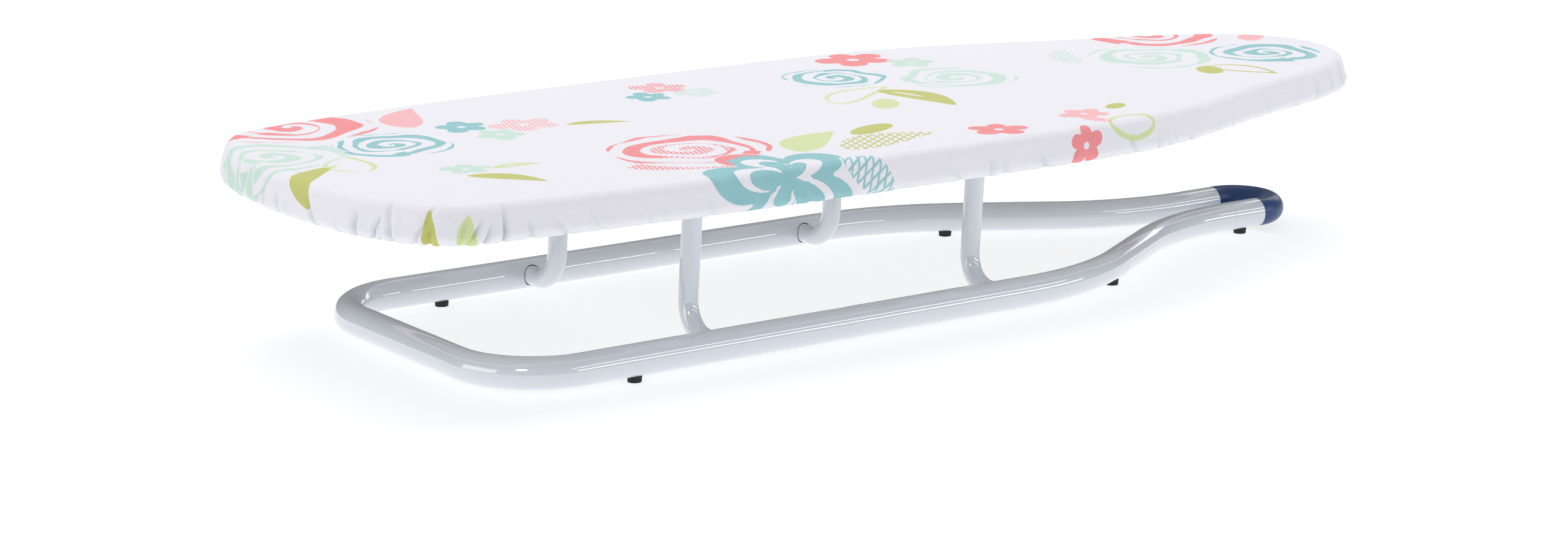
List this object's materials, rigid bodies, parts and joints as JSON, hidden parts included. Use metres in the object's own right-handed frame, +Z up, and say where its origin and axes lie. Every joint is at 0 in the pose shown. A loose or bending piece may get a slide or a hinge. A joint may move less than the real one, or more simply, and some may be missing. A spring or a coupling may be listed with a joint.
{
  "type": "tabletop ironing board",
  "caption": "Low folding board with a rounded nose, a padded cotton cover and two bent links that swing in a looped tube base.",
  "frame": {"origin": "on the table, under the middle of the board's outline", "axes": "+X from the square heel to the rounded nose, +Y to the left, +Z up"},
  "size_m": [0.785, 0.3, 0.1199],
  "materials": {
    "white_coat": "glossy white powder coat",
    "navy_plastic": "satin moulded polypropylene",
    "black_rubber": "matt moulded rubber",
    "zinc_steel": "bright zinc plate",
    "felt": "needled polyester felt",
    "printed_cotton": "plain-weave cotton with a floral print",
    "elastic_band": "braided elastic"
  },
  "bodies": {
    "base": {"base_tube": "white_coat", "nose_bend": "navy_plastic", "foot_heel_left": "black_rubber", "foot_heel_right": "black_rubber", "foot_mid_left": "black_rubber", "foot_mid_right": "black_rubber", "foot_nose_left": "black_rubber", "foot_nose_right": "black_rubber"},
    "rear_link": {"rear_link": "white_coat"},
    "front_link": {"front_link": "white_coat"},
    "board": {"deck": "zinc_steel", "rim": "white_coat", "rear_rail": "white_coat", "front_rail": "white_coat", "rear_saddle_left": "zinc_steel", "rear_saddle_right": "zinc_steel", "front_saddle_left": "zinc_steel", "front_saddle_right": "zinc_steel", "rear_rivets": "zinc_steel", "front_rivets": "zinc_steel", "pad": "felt", "cover": "printed_cotton", "hem_elastic": "elastic_band"}
  },
  "joints": [
    {"name": "rear_link_fold", "type": "hinge", "parent": "base", "child": "rear_link", "pos_m": [-0.16855, 0, 0.0125], "axis": [0, 1, 0], "range_deg": [-85, 0]},
    {"name": "front_link_fold", "type": "hinge", "parent": "base", "child": "front_link", "pos_m": [0.03945, 0, 0.0125], "axis": [0, 1, 0], "range_deg": [-85, 0]},
    {"name": "board_level", "type": "hinge", "parent": "rear_link", "child": "board", "pos_m": [-0.16345, 0, 0.0984], "axis": [0, 1, 0], "range_deg": [0, 85]}
  ],
  "couplings": [
    {"joint": "front_link_fold", "follows": "rear_link_fold", "ratio": 1},
    {"joint": "board_level", "follows": "rear_link_fold", "ratio": -1}
  ]
}
